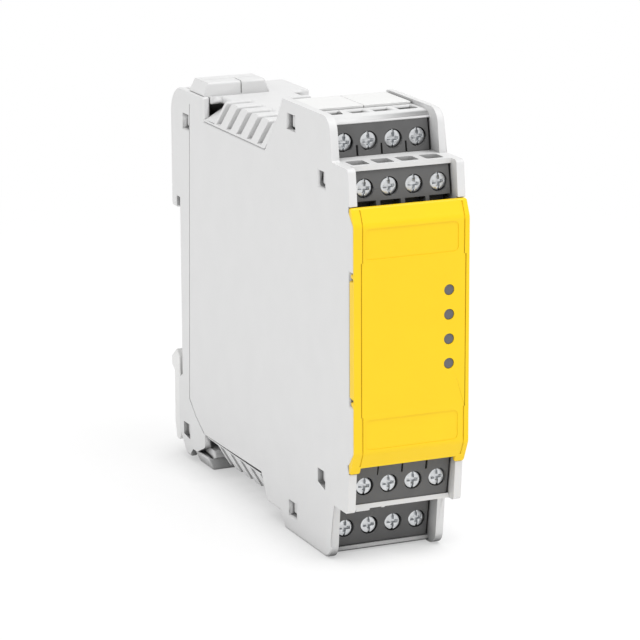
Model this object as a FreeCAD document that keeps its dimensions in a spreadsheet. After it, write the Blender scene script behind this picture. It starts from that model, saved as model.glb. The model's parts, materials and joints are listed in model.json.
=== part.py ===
"""Safety relay: a 22.5 mm wide module for a 35 mm mounting rail.

Every size is a named cell of the Sizes sheet, in millimetres. "Depth" runs back from the front
face of the yellow cover, "height" runs up from the surface that the module stands on, and x is 0
in the middle of the width. The origin is in the middle of the footprint, on that surface.
"""
import FreeCAD, Part
import os
import re

import Sketcher

Vector = FreeCAD.Vector

POLES = 4
LAMPS = 4
LOUVRES = 5
SPRING_BARS = 7
CORE_SIDES = 8

# sizes that can be set one by one
SIZES = {
    # overall
    "width": 22.5,
    "height": 81.8,
    "depth": 91.0,
    "wall": 1.5,
    "fit_gap": 0.1,
    "overshoot": 1.0,
    # steps of the profile, each from the nearer end of the module
    "top_step": 7.9,
    "low_step": 10.9,
    "roof_drop": 6.4,
    "roof_low": 2.8,
    "hood_fall": 4.65,
    "step_depth": 9.4,
    "step_lean": 1.2,
    "upper_nose": 2.5,
    "lower_nose": 2.2,
    "tier_lean": 0.7,
    "tower_rear": 32.0,
    "tower_slope": 2.2,
    "tower_fall": 3.5,
    "vent_front": 40.5,
    "vent_lag": 3.0,
    "vent_in": 19.8,
    "front_radius": 3.0,
    "rear_radius": 5.5,
    "foot_radius": 2.5,
    "nose_radius": 0.8,
    # foot: hook over the rail, recess for the rail, sole and heel
    "foot_in": 4.8,
    "rail_in": 6.4,
    "hook_in": 2.2,
    "hook_lip": 2.8,
    "hook_drop": 2.5,
    "rail_tall": 35.0,
    "rail_play": 1.2,
    "recess_low": 17.2,
    "recess_bevel": 1.0,
    "heel_step": 1.2,
    "heel_rise": 2.0,
    "heel_run": 4.4,
    "sole_long": 2.0,
    "sole_run": 4.0,
    "sole_rise": 0.9,
    "sole_climb": 4.6,
    # snap windows in the side cover
    "window_long": 3.4,
    "window_tall": 3.0,
    "snap_clear": 0.2,
    "snap_sunk": 0.9,
    # joint line and slit in the side cover, in front of the foot
    "seam_upper": 12.8,
    "seam_lower": 10.6,
    "seam_high": 8.8,
    "seam_turn": 13.0,
    "seam_bend_run": 3.2,
    "seam_bend_fall": 2.8,
    "seam_line": 0.22,
    "seam_sunk": 0.25,
    "slit_high": 46.0,
    "slit_sunk": 0.9,
    # lips and plates of the terminal towers, shelves between the rows
    "plate_sunk": 0.8,
    "plate_thick": 0.5,
    "plate_gap": 0.12,
    "plate_side": 0.45,
    "plate_end": 0.6,
    "tower_lip": 13.4,
    "lip_drop": 2.2,
    "lip_nose": 0.6,
    "lip_fall": 0.5,
    "lip_slope": 1.8,
    "floor_lip": 1.3,
    "floor_lip_run": 1.2,
    "shelf_thick": 0.9,
    "shelf_lip": 4.6,
    "shelf_rear": 22.0,
    "tab_x": -7.35,
    "tab_wide": 2.75,
    "small_tab_x": -3.3,
    "small_tab_wide": 0.6,
    "tab_tall": 0.42,
    "tab_thick": 0.6,
    # ventilation louvres, pocket behind them, bar across the foot
    "shoulder_run": 2.7,
    "louvre_wide": 2.0,
    "louvre_first": 2.9,
    "louvre_land": 2.0,
    "louvre_end": 3.8,
    "louvre_sill": 0.4,
    "pocket_long": 5.3,
    "pocket_in": 3.9,
    "pocket_floor": 0.8,
    "pocket_fall": 2.0,
    "grip_start": 0.8,
    "grip_long": 7.2,
    "grip_tall": 2.6,
    "grip_left": 0.3,
    "grip_left_run": 1.3,
    "grip_right": 3.2,
    "grip_right_run": 1.0,
    "grip_groove": 0.22,
    "grip_groove_x": -3.0,
    # yellow cover
    "cover_drop": 14.65,
    "cover_low": 19.7,
    "cover_wall": 1.2,
    "crown_in": 1.4,
    "crown_run": 3.0,
    "crown_radius": 2.5,
    "lip_depth": 0.45,
    "ear_rear": 2.25,
    "ear_fall": 0.9,
    "lug_drop": 1.1,
    "lug_tall": 1.5,
    "lug_rear": 2.5,
    "strip_in": 11.6,
    "strip_rear": 2.1,
    "notch_tall": 1.4,
    "nub_tall": 0.9,
    "nub_rear": 1.5,
    "lug_inner": 1.9,
    # seams and label fields on the cover's face
    "left_seam_in": 1.45,
    "right_seam_in": 0.75,
    "seam_jog": 0.24,
    "seam_jog_in": 9.7,
    "seam_wide": 0.2,
    "seam_deep": 0.2,
    "seam_end": 0.4,
    "field_in": 2.15,
    "field_tall": 5.5,
    "field_sunk": 0.12,
    "field_from_end": 3.65,
    "field_corner": 0.9,
    # indicator windows
    "lamp_in": 3.95,
    "lamp_rise": 17.9,
    "lamp_pitch": 4.5,
    "lamp_wide": 2.0,
    "lamp_clear": 0.05,
    "lamp_sunk": 0.15,
    "guide_half": 1.1,
    "guide_play": 0.05,
    "guide_thick": 1.6,
    # terminals
    "pole_pitch": 4.8,
    "block_side": 0.45,
    "face_lean": 0.18,
    "tower_set": 3.7,
    "top_front_face": 4.35,
    "bottom_front_face": 4.45,
    "top_rear_rise": 2.55,
    "top_front_fall": 4.05,
    "bottom_front_rise": 4.35,
    "bottom_rear_fall": 6.05,
    "block_under": 1.8,
    "front_block_long": 7.9,
    "rear_block_long": 12.0,
    "rib_wide": 0.8,
    "rib_rise": 0.45,
    "rib_recess": 2.4,
    "groove_wide": 0.3,
    "groove_deep": 0.4,
    "tall_groove": 4.3,
    "short_groove": 2.0,
    "screw_head": 3.2,
    "screw_head_thick": 1.3,
    "screw_sunk": 0.35,
    "screw_clear": 0.15,
    "screw_core": 2.0,
    "screw_long": 5.0,
    "thread_clear": 0.05,
    "cross_long": 2.4,
    "slot_wide": 0.6,
    "slot_deep": 0.7,
    "cage_set": 3.4,
    "cage_back": 0.2,
    "cage_wide": 3.4,
    "cage_tall": 3.6,
    "cage_long": 3.6,
    "cage_skin": 0.7,
    "entry_wide": 3.4,
    "entry_long": 3.6,
    "entry_set": 5.7,
    "tail_thick": 0.6,
    "tail_wide": 1.6,
    "tail_long": 10.0,
    "tail_clear": 0.05,
    "tail_short": 0.3,
    # rail latch and its spring
    "latch_side": 0.25,
    "latch_gap": 0.15,
    "latch_travel": 3.0,
    "latch_low": 2.6,
    "latch_toe": 1.2,
    "latch_heel": 3.4,
    "latch_in": 1.5,
    "latch_shoulder": 16.6,
    "latch_step": 1.0,
    "nose_rise": 4.8,
    "nose_face": 2.0,
    "nose_slope": 1.2,
    "nose_set": 0.4,
    "driver_half": 2.6,
    "driver_low": 2.4,
    "driver_tall": 1.6,
    "tongue_half": 4.0,
    "tongue_head": 1.2,
    "tongue_tall": 4.6,
    "tongue_long": 10.0,
    "channel_over": 0.4,
    "spring_solid": 3.3,
    "spring_sheet": 0.35,
    "spring_deep": 2.2,
    "spring_set": 0.4,
    "spring_half": 3.4,
    "spring_seat": 0.02,
    # boards
    "board_thick": 1.6,
    "board_side": 0.55,
    "board_front": 30.0,
    "board_in": 13.0,
    "board_low": 9.5,
    "board_drop": 11.8,
    "lamp_board_half": 9.0,
    "lamp_board_set": 6.2,
    "lamp_board_in": 3.7,
    "link_wide": 2.5,
    "link_tall": 2.6,
    "link_rise": 37.5,
    "link_reach": 3.4,
    "lid_gap": 0.02,
}

# what stands on the main board: place from its front and lower edge, size
COMPONENTS = {
    "safety_relay_a": {"from_front": 14.0, "up": 32.5, "long": 28.0, "tall": 24.0, "thick": 12.6},
    "safety_relay_b": {"from_front": 14.0, "up": 4.5, "long": 28.0, "tall": 24.0, "thick": 12.6},
    "converter": {"from_front": 2.0, "up": 40.5, "long": 10.0, "tall": 14.0, "thick": 9.5},
    "logic_chip_a": {"from_front": 2.5, "up": 28.5, "long": 8.0, "tall": 8.0, "thick": 1.8},
    "logic_chip_b": {"from_front": 2.5, "up": 16.5, "long": 8.0, "tall": 8.0, "thick": 1.8},
}

# round cans on the main board: place of the axis from its front and lower edge, size
CANS = {
    "capacitor_large": {"from_front": 7.0, "up": 9.5, "across": 8.0, "tall": 11.0},
    "capacitor_small": {"from_front": 4.0, "up": 3.4, "across": 5.0, "tall": 8.0},
}

# middle of each snap window, in depth and height, from the size named
WINDOWS = {
    "foot_top": ("depth - 10.6", "roof_top - 6.2"),
    "tower_top": ("tower_rear - 4.2", "height - 3.8"),
    "step_top": ("step_depth + 4.6", "shelf_top - 3.8"),
    "step_low": ("step_depth + 5.2", "low_step + 3.7"),
    "tower_low": ("tower_rear - 3.8", "roof_low + 1.9"),
    "foot_low": ("depth - 8.8", "roof_low + 3.1"),
}

# sizes that follow from the ones above
DERIVED = {
    "shelf_top": "height - top_step",
    "roof_top": "height - roof_drop",
    "cover_high": "height - cover_drop",
    "vent_edge_top": "roof_top - hood_fall",
    "vent_edge_low": "roof_low + hood_fall",
    "vent_rear": "depth - vent_in",
    "vent_low_front": "vent_front + vent_lag",
    "tower_rear_mid": "tower_rear + tower_slope",
    "foot_rear": "depth - foot_in",
    "rail_face": "depth - rail_in",
    "hook_rear": "depth - hook_in",
    "hook_inner": "hook_rear - hook_lip",
    "hook_slot_top": "recess_low + rail_tall + rail_play",
    "hook_tip": "hook_slot_top - hook_drop",
    "heel_front": "vent_rear + heel_step",
    "heel_rear": "heel_front + heel_run",
    "sole_top": "sole_rise + sole_climb",
    "core_from": "-width / 2 + wall + lid_gap",
    "core_wide": "width - 2 * wall - lid_gap",
    "plate_top": "height - plate_sunk",
    "plate_front": "tower_lip + lip_nose + lip_slope",
    "block_half": "width / 2 - wall - block_side",
    "crown_high": "cover_high - crown_run",
    "crown_low": "cover_low + crown_run",
    "strip_high": "cover_high - strip_in",
    "strip_low": "cover_low + strip_in",
    "lug_low": "cover_low - lug_drop",
    "lug_high": "lug_low + lug_tall",
    "cover_lip": "lip_depth - fit_gap",
    "cover_inner": "width / 2 - wall - fit_gap",
    "guide_outer": "cover_inner - cover_wall - guide_play",
    "lamp_x": "width / 2 - lamp_in",
    "lamp_first": "cover_low + lamp_rise",
    "top_rear_low": "shelf_top",
    "top_rear_high": "height - lip_drop",
    "top_rear_pole": "shelf_top + top_rear_rise",
    "top_rear_face": "step_depth + tower_set",
    "top_front_low": "cover_high - block_under",
    "top_front_high": "shelf_top - shelf_thick",
    "top_front_pole": "shelf_top - top_front_fall",
    "bottom_front_low": "low_step + shelf_thick",
    "bottom_front_high": "cover_low + block_under",
    "bottom_front_pole": "low_step + bottom_front_rise",
    "bottom_rear_low": "floor_lip",
    "bottom_rear_high": "low_step",
    "bottom_rear_pole": "low_step - bottom_rear_fall",
    "bottom_rear_face": "step_depth + tower_set",
    "tower_entry": "plate_front + plate_end",
    "seam_upper_at": "depth - seam_upper",
    "seam_lower_at": "depth - seam_lower",
    "seam_high_at": "height - seam_high",
    "slit_upper_at": "seam_upper_at + (seam_lower_at - seam_upper_at) * (seam_high_at - slit_high)"
                     " / (seam_high_at - seam_turn)",
    "tongue_low": "roof_low + wall + latch_travel + spring_solid",
    "tongue_high": "tongue_low + tongue_tall",
    "tongue_front": "foot_rear - tongue_long",
    "latch_back": "depth - latch_in",
    "nose_top": "latch_shoulder + nose_rise",
    "board_x": "width / 2 - wall - board_side - board_thick",
    "board_rear": "depth - board_in",
    "board_high": "height - board_drop",
}

# the four rows of terminals, with the sense in which their faces lean
ROWS = {"top_rear": 1, "top_front": 1, "bottom_front": -1, "bottom_rear": -1}

doc = FreeCAD.newDocument("safety_relay")
sheet = doc.addObject("Spreadsheet::Sheet", "Sizes")


def sheet_rows():
    """Name and content of every cell: plain sizes first, then what is worked out from them."""
    rows = dict(SIZES)
    for table in (COMPONENTS, CANS):
        for name, sizes in table.items():
            rows.update({f"{name}_{key}": number for key, number in sizes.items()})
    rows.update({name: f"={formula}" for name, formula in DERIVED.items()})
    for name, (depth_mid, height_mid) in WINDOWS.items():
        rows[f"window_{name}_depth"] = f"={depth_mid}"
        rows[f"window_{name}_height"] = f"={height_mid}"
    return rows


def fill_sheet():
    """Write each size into its own cell and give the cell its name."""
    rows = sheet_rows()
    for line, (alias, content) in enumerate(rows.items(), start=1):
        sheet.set(f"A{line}", alias)
        sheet.set(f"B{line}", str(content))
        sheet.setAlias(f"B{line}", alias)
    doc.recompute()
    return set(rows)


ALIASES = fill_sheet()
SUB_PARTS = []


def bound(formula):
    """Turn a formula of plain names into one that reads the sheet."""
    text = str(formula)
    return re.sub(r"[A-Za-z_]\w*", lambda m: f"Sizes.{m.group()}" if m.group() in ALIASES else m.group(), text)


def value(formula):
    """Number that a formula gives at present."""
    return float(sheet.evalExpression(bound(formula)))


def world(depth_formula):
    """Formula for the y of a place given by its depth."""
    return f"({depth_formula}) - depth / 2"


def new_body(label):
    """Start a sub-part made of features; its label names its file."""
    body = doc.addObject("PartDesign::Body", label)
    body.Label = label
    body.AllowCompound = True
    SUB_PARTS.append(body)
    return body


def plane_of(body, role):
    """Origin plane or axis of the body itself."""
    return next(item for item in body.Origin.OriginFeatures if item.Role == role)


# offset of each plane's drawing from the part's origin, and the sense in which its normal runs
PLANES = {
    "YZ_Plane": {"shift": ("x", "-depth / 2"), "sense": 1},
    "XZ_Plane": {"shift": None, "sense": -1},
    "XY_Plane": {"shift": ("y", "-depth / 2"), "sense": 1},
}


def new_sketch(body, name, role, at):
    """Empty sketch on the body's plane, moved along the normal to the place given by at."""
    sketch = body.newObject("Sketcher::SketchObject", name)
    sketch.AttachmentSupport = [(plane_of(body, role), "")]
    sketch.MapMode = "FlatFace"
    plane = PLANES[role]
    if plane["shift"]:
        axis, formula = plane["shift"]
        sketch.setExpression(f"AttachmentOffset.Base.{axis}", bound(formula))
    sketch.setExpression("AttachmentOffset.Base.z", bound(f"({at}) * {plane['sense']}"))
    return sketch


def pin_points(sketch, points):
    """Hold points of the sketch, each given as geometry, end and a pair of formulas, at their places."""
    constraints = []
    formulas = []
    for geometry, end, corner in points:
        for kind, formula in zip(("DistanceX", "DistanceY"), corner):
            constraints.append(Sketcher.Constraint(kind, -1, 1, geometry, end, value(formula)))
            formulas.append(formula)
    for number, formula in zip(sketch.addConstraint(constraints), formulas):
        sketch.setExpression(f"Constraints[{number}]", bound(formula))


def draw_loop(sketch, corners):
    """Closed outline with straight sides through corners, each a pair of formulas."""
    first = sketch.GeometryCount
    count = len(corners)
    places = [Vector(value(u), value(v), 0) for u, v in corners]
    sketch.addGeometry([Part.LineSegment(places[index], places[(index + 1) % count]) for index in range(count)])
    sketch.addConstraint([Sketcher.Constraint("Coincident", first + index, 2, first + (index + 1) % count, 1)
                          for index in range(count)])
    pin_points(sketch, [(first + index, 1, corner) for index, corner in enumerate(corners)])


def draw_circle(sketch, centre, diameter):
    """Circle with its centre and diameter given by formulas."""
    middle = Vector(value(centre[0]), value(centre[1]), 0)
    number = sketch.addGeometry(Part.Circle(middle, Vector(0, 0, 1), value(diameter) / 2))
    pin_points(sketch, [(number, 3, centre)])
    constraint = sketch.addConstraint(Sketcher.Constraint("Diameter", number, value(diameter)))
    sketch.setExpression(f"Constraints[{constraint}]", bound(diameter))


def extrude(body, name, role, at, length, loops, cut=False, circles=()):
    """Pad or pocket from the plane at `at` towards +X, +Y or +Z, and check that it did something."""
    sketch = new_sketch(body, f"{body.Name}_{name}_outline", role, at)
    for loop in loops:
        draw_loop(sketch, loop)
    for centre, diameter in circles:
        draw_circle(sketch, centre, diameter)
    doc.recompute()
    before = body.Shape.Volume if body.Tip else 0.0
    kind = "PartDesign::Pocket" if cut else "PartDesign::Pad"
    feature = body.newObject(kind, f"{body.Name}_{name}")
    feature.Profile = sketch
    feature.setExpression("Length", bound(length))
    along_normal = PLANES[role]["sense"] == 1
    feature.Reversed = along_normal if cut else not along_normal
    doc.recompute()
    after = feature.Shape.Volume
    if (cut and after >= before) or (not cut and after <= before):
        raise RuntimeError(f"{feature.Name} changes nothing")
    return feature


def box_loop(u_low, u_high, v_low, v_high):
    """Rectangle between four formulas."""
    return [(u_low, v_low), (u_high, v_low), (u_high, v_high), (u_low, v_high)]


def round_edges(body, name, places, radius, axis="x", tolerance=0.05):
    """Round the straight edges along one axis that pass through the given places."""
    base = body.Tip
    axis_number = "xyz".index(axis)
    others = [number for number in range(3) if number != axis_number]
    targets = [tuple(value(formula) for formula in place) for place in places]
    chosen = []
    for number, edge in enumerate(base.Shape.Edges, start=1):
        if edge.Curve.TypeId != "Part::GeomLine" or len(edge.Vertexes) < 2:
            continue
        start, finish = (vertex.Point for vertex in (edge.Vertexes[0], edge.Vertexes[-1]))
        run = finish - start
        if abs(run[axis_number]) < 0.999 * run.Length:
            continue
        if any(all(abs(start[o] - t) < tolerance for o, t in zip(others, target)) for target in targets):
            chosen.append(f"Edge{number}")
    if not chosen:
        raise RuntimeError(f"{name} finds no edge")
    fillet = body.newObject("PartDesign::Fillet", f"{body.Name}_{name}")
    fillet.Base = (base, chosen)
    fillet.setExpression("Radius", bound(radius))
    doc.recompute()
    return fillet


def repeat(body, name, feature, axis, step, count):
    """Row of copies of a feature along one axis of the body."""
    pattern = body.newObject("PartDesign::LinearPattern", f"{body.Name}_{name}")
    pattern.Originals = [feature]
    pattern.Direction = (plane_of(body, axis), [""])
    pattern.Occurrences = count
    pattern.setExpression("Length", bound(f"({step}) * {count - 1}"))
    body.Tip = pattern
    doc.recompute()
    return pattern


def pole_places():
    """Formula for the x of each pole of a row, from left to right."""
    return [f"({number} - {(POLES - 1) / 2}) * pole_pitch" for number in range(POLES)]


def pole_borders():
    """Formula for the x of each border between two poles."""
    return [f"({number} - {POLES / 2}) * pole_pitch" for number in range(1, POLES)]


# ---------------------------------------------------------------- outlines shared by the housing

def cover_seat():
    """Front edge of a side wall from the upper shelf to the lower: it holds the cover on all sides."""
    return [
        ("upper_nose", "shelf_top"),
        ("upper_nose - tier_lean", "cover_high + fit_gap"),
        ("ear_rear + fit_gap", "cover_high + fit_gap"),
        ("ear_rear + fit_gap", "cover_high - ear_fall"),
        ("lip_depth", "crown_high"),
        ("lip_depth", "strip_high"),
        ("strip_rear + fit_gap", "strip_high"),
        ("strip_rear + fit_gap", "strip_low"),
        ("lip_depth", "strip_low"),
        ("lip_depth", "crown_low"),
        ("lug_rear + fit_gap", "lug_high"),
        ("lug_rear + fit_gap", "lug_low - fit_gap"),
        ("lower_nose", "lug_low - fit_gap"),
        ("lower_nose + tier_lean", "low_step"),
    ]


def side_outline():
    """Silhouette of a side wall in depth and height, from the front foot round by the rear."""
    return [
        ("step_depth + step_lean", "0"),
        ("tower_rear", "0"),
        ("tower_rear_mid", "roof_low"),
        ("vent_front", "roof_low"),
        ("vent_low_front", "vent_edge_low"),
        ("heel_front", "vent_edge_low"),
        ("heel_front", "roof_low + heel_rise"),
        ("heel_rear", "roof_low"),
        ("foot_rear - sole_run - sole_long - sole_rise", "roof_low"),
        ("foot_rear - sole_run - sole_long", "sole_rise"),
        ("foot_rear - sole_run", "sole_rise"),
        ("foot_rear", "sole_top"),
        ("foot_rear", "recess_low - recess_bevel"),
        ("rail_face", "recess_low"),
        ("rail_face", "hook_slot_top"),
        ("hook_inner", "hook_slot_top"),
        ("hook_inner", "hook_tip"),
        ("hook_rear", "hook_tip"),
        ("hook_rear", "roof_top"),
        ("vent_rear", "roof_top"),
        ("vent_rear", "vent_edge_top"),
        ("vent_front", "vent_edge_top"),
        ("tower_rear_mid", "height - tower_fall"),
        ("tower_rear", "height"),
        ("step_depth + step_lean", "height"),
        ("step_depth", "shelf_top"),
        *cover_seat(),
        ("step_depth", "low_step"),
    ]


def core_outline():
    """Closed section of the walls between the two sides: roof, rear wall, floor and tower ends."""
    sole_share = "(roof_low - sole_rise) / sole_climb"
    outer = [
        ("tower_lip", "floor_lip"),
        ("tower_lip", "floor_lip / 2"),
        ("tower_lip + floor_lip_run", "0"),
        ("tower_rear", "0"),
        ("tower_rear_mid", "roof_low"),
        (f"foot_rear - sole_run * (1 - {sole_share})", "roof_low"),
        ("foot_rear", "sole_top"),
        ("foot_rear", "recess_low - recess_bevel"),
        ("rail_face", "recess_low"),
        ("rail_face", "hook_slot_top"),
        ("hook_inner", "hook_slot_top"),
        ("hook_inner", "hook_tip"),
        ("hook_rear", "hook_tip"),
        ("hook_rear", "roof_top"),
        ("tower_rear_mid + wall", "roof_top"),
        ("tower_rear_mid", "height - tower_fall"),
        ("tower_rear", "plate_top"),
        ("plate_front", "plate_top"),
        ("tower_lip + lip_nose", "plate_top - lip_fall"),
        ("tower_lip", "top_rear_high"),
    ]
    inner = [
        ("tower_rear - 2 * wall / 3", "top_rear_high"),
        ("tower_rear_mid - wall", "height - tower_fall"),
        ("tower_rear_mid", "roof_top - wall"),
        ("rail_face - wall", "roof_top - wall"),
        ("rail_face - wall", "roof_low + wall"),
        ("tower_rear_mid - 2 * wall / 3", "roof_low + wall"),
        ("tower_rear - 2 * wall / 3", "floor_lip"),
    ]
    return outer + inner


def round_silhouette(body):
    """Round the corners that the side walls and what lies between them share."""
    front = [(world("step_depth + step_lean"), end) for end in ("0", "height")]
    noses = [(world("upper_nose"), "shelf_top"), (world("lower_nose + tier_lean"), "low_step")]
    round_edges(body, "front_corners", front, "front_radius")
    round_edges(body, "rear_corner", [(world("hook_rear"), "roof_top")], "rear_radius")
    round_edges(body, "foot_corner", [(world("foot_rear"), "sole_top")], "foot_radius")
    round_edges(body, "noses", [*noses, (world("hook_rear"), "hook_tip")], "nose_radius")


def window_loops(clear):
    """Outlines of the snap windows, or of the snaps that fill them, less the clearance."""
    long_half = f"(window_long / 2 - ({clear}))"
    tall_half = f"(window_tall / 2 - ({clear}))"
    loops = []
    for name in WINDOWS:
        depth_mid, height_mid = f"window_{name}_depth", f"window_{name}_height"
        loops.append(box_loop(f"{depth_mid} - {long_half}", f"{depth_mid} + {long_half}",
                              f"{height_mid} - {tall_half}", f"{height_mid} + {tall_half}"))
    return loops


def make_side_cover():
    """Left wall: a flat moulding with six snap windows and the joint line of the foot."""
    body = new_body("side_cover")
    extrude(body, "wall", "YZ_Plane", "-width / 2", "wall", [side_outline()])
    round_silhouette(body)
    extrude(body, "windows", "YZ_Plane", "-width / 2", "wall", window_loops("0"), cut=True)
    bend_depth = "seam_lower_at - seam_bend_run"
    bend_height = "seam_turn - seam_bend_fall"
    joint_line = [
        ("seam_upper_at", "seam_high_at"),
        ("seam_lower_at", "seam_turn"),
        (bend_depth, bend_height),
        ("heel_front + seam_line", "vent_edge_low + seam_line"),
        ("heel_front + 2 * seam_line", "vent_edge_low"),
        (bend_depth, f"{bend_height} - seam_line"),
        ("seam_lower_at + seam_line", "seam_turn - seam_line"),
        ("seam_upper_at + seam_line", "seam_high_at"),
    ]
    extrude(body, "joint_line", "YZ_Plane", "-width / 2", "seam_sunk", [joint_line], cut=True)
    slit = [
        ("slit_upper_at", "slit_high"),
        ("seam_lower_at", "seam_turn"),
        ("seam_lower_at + seam_line", "seam_turn"),
        ("slit_upper_at + seam_line", "slit_high"),
    ]
    extrude(body, "slit", "YZ_Plane", "-width / 2", "slit_sunk", [slit], cut=True)
    return body


def make_housing():
    """Right wall with the roof, rear wall, floor, shelves, louvres and snaps, one moulding."""
    body = new_body("housing_shell")
    extrude(body, "wall", "YZ_Plane", "width / 2 - wall", "wall", [side_outline()])
    extrude(body, "core", "YZ_Plane", "core_from", "core_wide", [core_outline()])
    round_silhouette(body)
    shelves = [
        box_loop("shelf_lip", "shelf_rear", "top_front_high", "shelf_top"),
        box_loop("shelf_lip + shelf_thick / 3", "shelf_rear", "low_step", "bottom_front_low"),
    ]
    extrude(body, "shelves", "YZ_Plane", "core_from", "core_wide", shelves)
    extrude(body, "snaps", "YZ_Plane", "-width / 2 + snap_sunk", "width - wall - snap_sunk",
            window_loops("snap_clear"))
    add_tabs(body)
    add_hoods(body)
    cut_louvres(body)
    add_pocket_floors(body)
    cut_wire_entries(body)
    add_grip_bars(body)
    cut_latch_channel(body)
    return body


def add_tabs(body):
    """Two small tabs that hang from the lip of the lower shelf."""
    for name, middle, wide, tall in (("tab", "tab_x", "tab_wide", "tab_tall"),
                                     ("small_tab", "small_tab_x", "small_tab_wide", "tab_tall / 2")):
        loop = box_loop(f"{middle} - {wide} / 2", f"{middle} + {wide} / 2", f"low_step - {tall}",
                        "low_step + shelf_thick / 2")
        extrude(body, name, "XZ_Plane", world("shelf_lip + shelf_thick / 3"), "tab_thick", [loop])


def add_hoods(body):
    """Hoods of roof and floor between the towers and the foot, sloped down to both side walls."""
    for level, edge, roof, inward, start in (
            ("top", "vent_edge_top + fit_gap / 2", "roof_top", "-1", "vent_front + fit_gap"),
            ("low", "vent_edge_low - fit_gap / 2", "roof_low", "1", "vent_low_front + fit_gap")):
        under = f"{roof} + {inward} * wall"
        slope_wall = "0.6 * wall"
        loop = [
            ("-width / 2", edge),
            ("-width / 2 + shoulder_run", roof),
            ("width / 2 - shoulder_run", roof),
            ("width / 2", edge),
            ("width / 2 - wall", edge),
            (f"width / 2 - shoulder_run - {slope_wall}", under),
            (f"-width / 2 + shoulder_run + {slope_wall}", under),
            ("-width / 2 + wall", edge),
        ]
        extrude(body, f"hood_{level}", "XZ_Plane", world(start), f"vent_rear - ({start}) - fit_gap", [loop])


# sides of the module for what is cut from both: name, inner and outer limit in x
SIDES = (("left", "-width / 2 - overshoot", "-{inner}"), ("right", "{inner}", "width / 2 + overshoot"))


def side_range(side, inner):
    """Limits in x of a cut that enters from one side as far as the inner place."""
    return [limit.format(inner=inner) for limit in side[1:]]


def cut_louvres(body):
    """Rows of slots over each shoulder of both hoods, and the wider pocket behind each row."""
    first = "vent_front + louvre_first - louvre_wide / 2"
    last = "vent_rear - pocket_long - louvre_land - louvre_wide / 2"
    pitch = f"(({last}) - ({first})) / {LOUVRES - 1}"
    for side in SIDES:
        for level, low in (("top", "vent_edge_top + louvre_sill"),
                           ("low", "vent_edge_low - louvre_sill - hood_fall - overshoot")):
            slot = extrude(body, f"louvre_{side[0]}_{level}", "XY_Plane", low, "hood_fall + overshoot",
                           [box_loop(*side_range(side, "louvre_end"), first, f"{first} + louvre_wide")], cut=True)
            repeat(body, f"louvres_{side[0]}_{level}", slot, "Y_Axis", pitch, LOUVRES)
            extrude(body, f"pocket_{side[0]}_{level}", "XY_Plane", low, "hood_fall + overshoot",
                    [box_loop(*side_range(side, "(width / 2 - pocket_in)"), "vent_rear - pocket_long",
                              "vent_rear - fit_gap")], cut=True)


def add_pocket_floors(body):
    """Sloping floors that close the pockets behind the louvres."""
    for name, sense in (("left", "-1"), ("right", "1")):
        for level, edge, inward in (("top", "vent_edge_top + fit_gap", "-1"),
                                    ("low", "vent_edge_low - fit_gap", "1")):
            inner_height = f"{edge} - ({inward}) * (hood_fall - pocket_fall)"
            outer = f"{sense} * (width / 2 - fit_gap)"
            inner = f"{sense} * (width / 2 - pocket_in - pocket_floor)"
            loop = [
                (outer, edge),
                (inner, inner_height),
                (inner, f"{inner_height} + ({inward}) * pocket_floor"),
                (f"{sense} * (width / 2 - wall)", f"{edge}"),
            ]
            extrude(body, f"pocket_floor_{name}_{level}", "XZ_Plane",
                    world("vent_rear - pocket_long - pocket_floor"), "pocket_long + pocket_floor", [loop])


def cut_wire_entries(body):
    """Openings in the two shelves and the tower ends where the wires go in."""
    for name, low, deep, front in (
            ("top", "top_rear_high - overshoot", "plate_sunk + lip_drop + overshoot", "tower_entry"),
            ("upper_shelf", "top_front_high - overshoot / 2", "shelf_thick + overshoot", "entry_set"),
            ("lower_shelf", "low_step - overshoot / 2", "shelf_thick + overshoot", "entry_set"),
            ("bottom", "-overshoot / 2", "floor_lip + overshoot", "tower_entry")):
        loops = [box_loop(f"{x} - entry_wide / 2", f"{x} + entry_wide / 2", front, f"{front} + entry_long")
                 for x in pole_places()]
        extrude(body, f"entries_{name}", "XY_Plane", low, deep, loops, cut=True)


def add_grip_bars(body):
    """Bar across the roof of the foot, with its joint lines, and its twin below to stand on."""
    for name, base, tip in (("top", "roof_top", "roof_top + grip_tall"), ("low", "roof_low", "0")):
        loop = [
            ("-width / 2 + grip_left", base),
            ("-width / 2 + grip_left + grip_left_run", tip),
            ("grip_right - grip_right_run", tip),
            ("grip_right", base),
        ]
        extrude(body, f"grip_{name}", "XZ_Plane", world("vent_rear + grip_start"), "grip_long", [loop])
    middle = "vent_rear + grip_start + grip_long / 2"
    extrude(body, "grip_long_groove", "XY_Plane", "roof_top + grip_tall - grip_groove", "grip_groove + overshoot",
            [box_loop("-width / 2", "grip_right", middle, f"{middle} + grip_groove")], cut=True)
    extrude(body, "grip_cross_groove", "XZ_Plane", world("vent_rear"), f"({middle}) - vent_rear",
            [box_loop("grip_groove_x", "grip_groove_x + grip_groove", "roof_top + grip_tall - grip_groove",
                      "roof_top + grip_tall + overshoot")], cut=True)
    extrude(body, "grip_front_groove", "XZ_Plane", world("vent_rear"), "grip_start + grip_groove",
            [box_loop("grip_groove_x", "grip_groove_x + grip_groove", "roof_top + grip_groove",
                      "roof_top + grip_tall + overshoot")], cut=True)


def cut_latch_channel(body):
    """Channel in the rear wall where the tongue of the latch runs, open downwards."""
    loop = box_loop("-tongue_half - latch_gap", "tongue_half + latch_gap",
                    "tongue_low - latch_travel - channel_over", "tongue_high + channel_over")
    extrude(body, "latch_channel", "XZ_Plane", world("rail_face - wall - fit_gap"), "depth - rail_face + wall",
            [loop], cut=True)


# ---------------------------------------------------------------- yellow cover and lamps

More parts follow.
